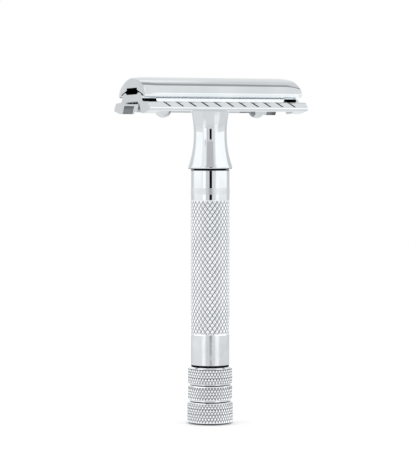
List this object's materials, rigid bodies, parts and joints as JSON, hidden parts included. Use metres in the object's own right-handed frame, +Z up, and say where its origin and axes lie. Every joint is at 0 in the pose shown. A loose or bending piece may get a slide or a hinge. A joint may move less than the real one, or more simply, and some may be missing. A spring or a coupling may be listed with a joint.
{
  "type": "safety razor",
  "caption": "Short double-edge safety razor: curved cap over a slotted safety-bar plate, flared neck, knurled handle, and a banded twist knob that raises and lowers the cap.",
  "frame": {"origin": "centre of the knob's foot, on the surface that the razor stands on", "axes": "+Z up the handle to the cap, +X along the head, -Y towards the front safety bar"},
  "size_m": [0.04, 0.0272, 0.084],
  "materials": {
    "chrome": "polished plating",
    "brass": "turned",
    "steel": "turned"
  },
  "bodies": {
    "handle": {"base_plate": "chrome", "neck": "chrome", "handle_tube": "chrome", "upper_bushing": "brass", "lower_bushing": "brass", "sleeve_washer": "steel", "thrust_washer": "steel"},
    "knob": {"knob": "chrome", "drive_rod": "steel", "thread_sleeve": "brass", "wave_washer": "steel", "knob_screw": "steel", "knob_plug": "chrome"},
    "cap": {"cap": "chrome", "cap_stud": "brass", "locating_post_left": "chrome", "locating_post_right": "chrome"}
  },
  "joints": [
    {"name": "knob_turn", "type": "hinge", "parent": "handle", "child": "knob", "pos_m": [0, 0, 0], "axis": [0, 0, -1], "range_deg": [0, 2520]},
    {"name": "cap_lift", "type": "slide", "parent": "handle", "child": "cap", "axis": [0, 0, 1], "range_m": [0, 0.0056]}
  ],
  "couplings": [
    {"joint": "cap_lift", "follows": "knob_turn", "m_per_rad": 0.00012732}
  ]
}
